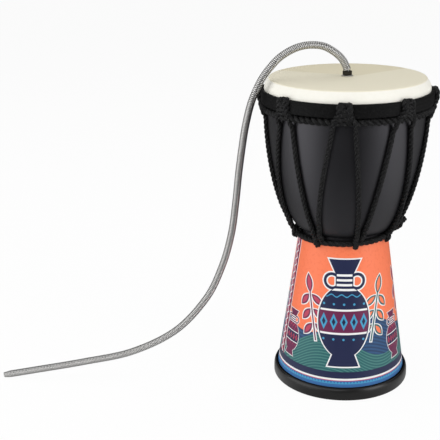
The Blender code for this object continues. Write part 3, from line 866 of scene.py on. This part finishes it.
def make_head(finish):
    """One skin: a flat face, a fall over its edge to the collar, and a hem turned in below."""
    edge = 0.0010
    outer = [(BOLT_HOLE_RADIUS, HEAD_TOP)]
    outer += [(0.020, HEAD_TOP), (0.050, HEAD_TOP)]
    outer += arc((HEAD_FLAT_RADIUS - edge, HEAD_TOP - edge), edge, 90, 40, 4)
    fall = [(0.0797, 0.0021), (0.0812, 0.0045), (0.0823, 0.0068)]
    outer += [(radius, HEAD_TOP - drop) for radius, drop in fall]
    outer += [(COLLAR_RADIUS, COLLAR_TOP), (COLLAR_RADIUS, CROWN_LOW + 0.0009)]
    hem = CROWN_LOW + 0.0004
    lap = RIM_RADIUS + 2 * GAP
    outer += [(COLLAR_RADIUS - SKIN, hem), (lap, hem), (lap, hem + SKIN)]
    inner = [(COLLAR_RADIUS - SKIN, hem + SKIN), (COLLAR_RADIUS - SKIN, COLLAR_TOP)]
    inner += [(radius - SKIN, HEAD_TOP - drop) for radius, drop in reversed(fall)]
    inner += [(HEAD_FLAT_RADIUS - 0.0011, HEAD_TOP - SKIN)]
    inner += [(BOLT_HOLE_RADIUS, HEAD_TOP - SKIN)]
    piece = turned(outer + inner)
    finish_piece(piece, "skin", finish, "drum", ["drumhead"])


def make_crown(finish):
    inner, outer = COLLAR_RADIUS + GAP, CROWN_RADIUS
    middle = (CROWN_TOP + CROWN_LOW) / 2
    half_flat, edge, chamfer = 0.0020, 0.0013, 0.0006
    profile = arc((outer - edge, CROWN_TOP - edge), edge, 90, 10, 6)
    profile += [(outer, middle + half_flat), (outer, middle - half_flat)]
    profile += arc((outer - edge, CROWN_LOW + edge), edge, -10, -90, 6)
    profile += [(inner + chamfer, CROWN_LOW), (inner, CROWN_LOW + chamfer)]
    profile += [(inner, CROWN_TOP - chamfer), (inner + chamfer, CROWN_TOP)]
    piece = turned(profile)
    finish_piece(piece, "crown_band", finish, "drum", ["crown_hoop"])


def finish_rope(rope, name, finish, stands_for):
    finish_piece(rope, name, finish, "drum", stands_for, CORD_SMOOTHING)


def ring_rope(radius, height_at, rope_radius, lay, **twist):
    """A rope right round the drum, as high as height_at gives for each angle."""
    points = [polar(angle, radius, height_at(angle)) for angle in range(0, 360, 5)]
    return laid_rope(points, rope_radius, lay, closed=True, **twist)


def make_ring_ropes(finish):
    ring = RIM_RADIUS + GAP + RUNNING_ROPE_RADIUS
    rope = ring_rope(
        ring, lambda angle: RUNNING_HEIGHT, RUNNING_ROPE_RADIUS, 0.0125, strands=2, groove=0.46
    )
    finish_rope(rope, "running_cord", finish, ["running_rope"])
    rope = ring_rope(bottom_ring(), bottom_ring_height, BOTTOM_ROPE_RADIUS, 0.0180)
    finish_rope(rope, "waist_cord", finish, ["bottom_ring_rope"])


def bottom_ring():
    """Radius of the bottom ring's middle: it lies on the base just under the waist."""
    return base_radius(BOTTOM_RING_HEIGHT) + 2 * GAP + BOTTOM_ROPE_RADIUS


def bottom_ring_height(angle):
    """Height of its middle there: it has settled a little lower on the left."""
    return BOTTOM_RING_HEIGHT - 0.0006 + 0.0012 * sin(radians(angle))


def hitch_half(centre, side, reach):
    """From the middle of the crossing behind the hoop's top down to the leg's end.

    Each point of the shape has its angle from the hitch's middle, its radius and its height.
    """
    ring = HITCH_RADIUS
    back = COLLAR_RADIUS + 0.0027
    spread = degrees_for(0.0042, ring)
    flare = degrees_for(reach, ring) - spread
    top = CROWN_TOP - 0.0009
    bend = ring - back
    shape = [
        (0.00, back, top - 0.0010),
        (0.55 * spread, back + bend * 0.04, top - 0.0003),
        (0.95 * spread, back + bend * 0.34, top - 0.0001),
        (1.00 * spread, back + bend * 0.66, top - bend * 0.24),
        (1.00 * spread, ring - bend * 0.14, top - bend * 0.90),
        (1.02 * spread, ring - 0.0001, top - bend * 1.50),
        (1.04 * spread, ring - 0.0003, CROWN_LOW + 0.0058),
        (spread + flare * 0.16, ring - 0.0007, CROWN_LOW + 0.0030),
        (spread + flare * 0.46, ring - 0.0018, CROWN_LOW + 0.0002),
        (spread + flare * 0.84, OVER_RUNNING_ROPE, RUNNING_HEIGHT + 0.0008),
        (spread + flare, OVER_RUNNING_ROPE - 0.0014, LEG_END),
    ]
    return [polar(centre + side * angle, radius, height) for angle, radius, height in shape]


def bight_points(centre, wide, middle, fall, tilt):
    """An arch across the hitch's two legs, where the rope locks on itself."""
    ring = CROWN_RADIUS + ROPE_RADIUS * 0.9
    points = []
    for i in range(9):
        share = (i - 4) / 4
        angle = centre + degrees_for(wide * share, ring)
        height = middle - fall * share * share + tilt * share
        tuck = max(0.0, CROWN_LOW + 0.0020 - height) * 0.8
        points.append(polar(angle, ring - tuck - 0.0020 * share * share, height))
    return points


def run_half(hitch_angle, side, reach, tie_angle, over):
    """From the leg's end down the bowl: one leg laps the bottom ring, the other goes behind."""
    leg = degrees_for(reach, HITCH_RADIUS)
    standoff = ROPE_RADIUS * 0.80
    middle = bottom_ring()
    around = BOTTOM_ROPE_RADIUS + ROPE_RADIUS - 0.0022
    shape = [(OVER_RUNNING_ROPE - 0.0024, LEG_END - 0.0036)]
    shape.append((OVER_RUNNING_ROPE - 0.0044, LEG_END - 0.0064))
    high, low = LEG_END - 0.0102, WAIST_HEIGHT + 0.0125
    for i in range(9):
        height = high + (low - high) * i / 8
        shape.append((on_bowl(height, standoff + 0.0005 * (i / 8) ** 2), height))
    ring_height = bottom_ring_height(tie_angle)
    shape.append((middle + 0.0066, ring_height + 0.0084))
    lap = (56, 14, -26, -60, -88) if over else (64, 96, 132)
    for turn in lap:
        across, up = cos(radians(turn)), sin(radians(turn))
        shape.append((middle + around * across, ring_height + around * up))
    first = hitch_angle + side * leg
    last = tie_angle - side * degrees_for(ROPE_RADIUS * 0.9, middle + around)
    settled = ring_height + around
    points = []
    for radius, height in shape:
        share = min(max((LEG_END - height) / (LEG_END - settled), 0.0), 1.0)
        points.append(polar(first + (last - first) * share, radius, height))
    return points


def make_loops(finish):
    """One rope for each hitch: up from one tie, over the hoop, and down to the next tie."""
    count = len(HITCH_ANGLES)
    for number, centre in enumerate(HITCH_ANGLES):
        before = (number - 1) % count
        tie_before = TIE_ANGLES[before] - (360 if number == 0 else 0)
        near, far = LEG_REACH, NEARER_RIGHT_LEGS.get(number, LEG_REACH)
        left = hitch_half(centre, -1, near) + run_half(centre, -1, near, tie_before, False)
        right = hitch_half(centre, 1, far) + run_half(centre, 1, far, TIE_ANGLES[number], True)
        points = list(reversed(left)) + right[1:]

        def swell(share):
            """Thicker over the hoop, where it runs double, and a little at both ties."""
            hitch = max(0.0, 1 - ((share - 0.49) / 0.065) ** 4)
            tie = max(0.0, 1 - min(share, 1 - share) / 0.13)
            return 1.0 + (HITCH_SWELL - 1.0) * hitch + (TIE_SWELL - 1.0) * tie

        rope = laid_rope(points, ROPE_RADIUS, ROPE_LAY, groove=0.38, swell=swell)
        bights = [
            laid_rope(bight_points(centre, *sizes), ROPE_RADIUS, ROPE_LAY)
            for sizes in (
                (0.0086, CROWN_LOW + 0.0004, 0.0026, 0.0),
                (0.0062, CROWN_LOW + 0.0044, 0.0014, 0.0008),
                (0.0050, CROWN_LOW + 0.0080, 0.0006, -0.0008),
            )
        ]
        deselect_all()
        for piece in (*bights, rope):
            piece.select_set(True)
        bpy.context.view_layer.objects.active = rope
        bpy.ops.object.join()
        stands_for = [
            "rope_hitch_%d" % (number + 1),
            "rope_run_%02d" % (2 * number + 1),
            "rope_run_%02d" % (2 * before + 2),
        ]
        finish_rope(rope, "rope_loop_%d" % (number + 1), finish, stands_for)


def make_end_knot(finish):
    """The rope's end in an overhand knot, drawn tight and low against the bowl."""
    low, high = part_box("rope_end_knot")
    drawn_in = Vector((-0.0030, 0.0, -0.0008))
    middle = (Vector(low) + Vector(high)) / 2 + drawn_in
    across_size = 0.0020
    angle = atan2(middle.x, -middle.y) * 180 / pi
    out = polar(angle, 1.0, 0.0)
    normal = (out - Vector((0.0, 0.0, bowl_slope(middle.z)))).normalized()
    across = polar(angle + 90, 1.0, 0.0)
    up = normal.cross(across)
    points = []
    for i in range(34):
        t = radians(25 + 310 * i / 33)
        u = across_size * (sin(t) + 2 * sin(2 * t))
        v = across_size * 1.35 * (cos(t) - 2 * cos(2 * t))
        w = -0.0022 * sin(3 * t)
        points.append(middle + across * u + up * v + normal * w)
    rope = laid_rope(points, ROPE_RADIUS, 0.0110, spacing=0.0008)
    finish_rope(rope, "rope_end", finish, ["rope_end_knot"])


def make_washer(name, low, high, stands_for, finish):
    edge = 0.00015
    inner, outer = BOLT_HOLE_RADIUS, WASHER_RADIUS
    profile = [(outer - edge, high), (outer, high - edge), (outer, low + edge)]
    profile += [(outer - edge, low), (inner + edge, low), (inner, low + edge)]
    profile += [(inner, high - edge), (inner + edge, high)]
    piece = turned(profile, 64)
    finish_piece(piece, name, finish, "spring_mount", [stands_for])


def make_nut(finish):
    """A hex nut with its corners faced on a lathe, one of them towards +X."""
    corner = NUT_FLATS / 2 / cos(pi / 6)
    tall = NUT_TOP - NUT_LOW
    centre = (0.0, 0.0, (NUT_TOP + NUT_LOW) / 2)
    deselect_all()
    bpy.ops.mesh.primitive_cylinder_add(
        vertices=6, radius=corner, depth=tall, location=centre, rotation=(0.0, 0.0, pi / 6)
    )
    nut = bpy.context.object
    bpy.ops.object.transform_apply(location=True, rotation=True, scale=True)
    bpy.ops.mesh.primitive_cone_add(
        vertices=96, radius1=corner * 1.9, radius2=corner * 0.80, depth=tall * 1.10,
        location=(0.0, 0.0, NUT_LOW + tall * 0.55 + 0.0002),
    )
    facing = bpy.context.object
    bpy.ops.mesh.primitive_cylinder_add(
        vertices=64, radius=BOLT_HOLE_RADIUS, depth=tall * 3, location=centre
    )
    bore = bpy.context.object
    deselect_all()
    bpy.context.view_layer.objects.active = nut
    for cutter, operation in ((facing, "INTERSECT"), (bore, "DIFFERENCE")):
        cut = nut.modifiers.new("cut", "BOOLEAN")
        cut.object = cutter
        cut.operation = operation
        cut.solver = "EXACT"
        bpy.ops.object.modifier_apply(modifier=cut.name)
        bpy.data.objects.remove(cutter)
    finish_piece(nut, "nut", finish, "spring_mount", ["spring_nut"], 25)


def make_spring(finish):
    """Close-wound wire: turns touch where it is straight, fan out on a bend, and end drawn in."""
    line, length = even_points(SPRING_ROUTE, 0.0004)
    coil = SPRING_RADIUS - SPRING_WIRE_RADIUS
    step = length / (len(line) - 1)
    side = Vector((1.0, 0.0, 0.0))
    closest = 2.06 * SPRING_WIRE_RADIUS
    sharpest_bend = 60.0
    points_a_turn = 16
    phase = 0.0
    wanted = 0.0
    turns = []
    for i in range(1, len(line) - 1):
        ahead = (line[i + 1] - line[i - 1]).normalized()
        bend = (line[i + 1] - 2 * line[i] + line[i - 1]).length / step ** 2
        side = (side - ahead * side.dot(ahead)).normalized()
        across = ahead.cross(side)
        pitch = closest * (1 + SPRING_RADIUS * min(bend, sharpest_bend))
        drawn_in = max(0.0, 1 - (len(line) - 1 - i) * step / SPRING_TAPER_LENGTH)
        reach = coil * (1 - SPRING_TAPER * drawn_in)
        grown = phase + step / pitch
        while wanted <= grown:
            share = (wanted - phase) / (grown - phase)
            centre = line[i].lerp(line[i + 1], share)
            turn = tau * wanted
            turns.append(centre + reach * (side * cos(turn) + across * sin(turn)))
            wanted += 1 / points_a_turn
        phase = grown
    wire = curve_object("spring_wire", turns)
    wire.data.bevel_depth = SPRING_WIRE_RADIUS
    wire.data.bevel_resolution = 2
    wire.data.use_fill_caps = True
    spring = to_mesh(wire)
    finish_piece(spring, "coil_spring", finish, None, ["spring"], CORD_SMOOTHING)
    path = [tuple(point) for point in line[::6]] + [tuple(line[-1])]
    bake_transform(spring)


def keep_node(node, finish):
    """A CAD piece that is mostly hidden keeps its shape and takes a real finish."""
    piece = bpy.data.objects[node]
    piece.data.materials.clear()
    piece.data.materials.append(finish)


def build():
    make_camera()
    make_world()
    make_lights()
    make_floor()
    bright = steel_finish("bright_steel", (0.61, 0.605, 0.595), 0.24, (0.05, 0.05, 0.05))
    pale = steel_finish("pale_steel", (0.75, 0.73, 0.68), 0.34)
    dark = steel_finish("dark_steel", (0.046, 0.043, 0.040), 0.22, (0.60, 0.60, 0.60))
    plain = steel_finish("plain_steel", (0.45, 0.45, 0.46), 0.38)
    cord = rope_finish()
    make_spring(bright)
    make_shell(shell_finish())
    make_wrap(wrap_finish())
    make_foot(foot_finish())
    make_head(skin_finish())
    make_crown(band_finish())
    make_ring_ropes(cord)
    make_loops(cord)
    make_end_knot(cord)
    make_washer("washer_top", WASHER_LOW, WASHER_TOP, "outer_washer", pale)
    low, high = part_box("inner_washer")
    make_washer("washer_under", low[2], high[2], "inner_washer", plain)
    make_nut(dark)
    keep_node("flesh_hoop", plain)
    keep_node("head_bolt", plain)
    bpy.context.scene.view_settings.view_transform = "Standard"


build()
